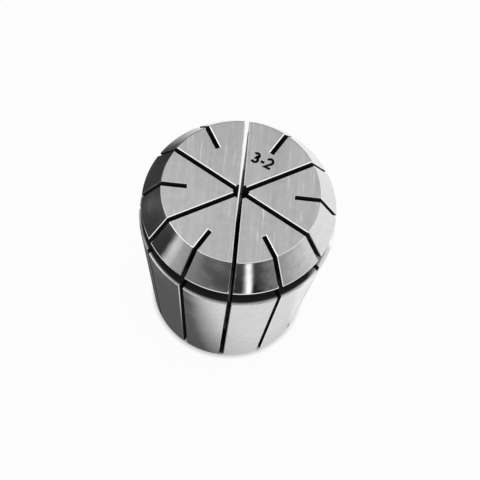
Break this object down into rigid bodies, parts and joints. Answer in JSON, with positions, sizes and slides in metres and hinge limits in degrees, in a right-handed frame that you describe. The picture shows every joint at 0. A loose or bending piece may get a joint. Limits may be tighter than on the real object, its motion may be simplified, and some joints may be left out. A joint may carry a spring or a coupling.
{
  "type": "er collet",
  "caption": "Slotted spring collet with a long locating taper, a puller groove and a short nose cone, clamping a thin round shank in its central bore.",
  "frame": {"origin": "centre of the rear face, the small end of the long taper, on the collet's axis", "axes": "+Z along the collet's axis, from the rear face to the front face where the tool's shank goes in; +X points at one of the short face slots"},
  "size_m": [0.041, 0.041, 0.046],
  "materials": {
    "ground_steel": "ground and polished spring steel"
  },
  "bodies": {
    "root": {"collet": "ground_steel"}
  },
  "joints": []
}
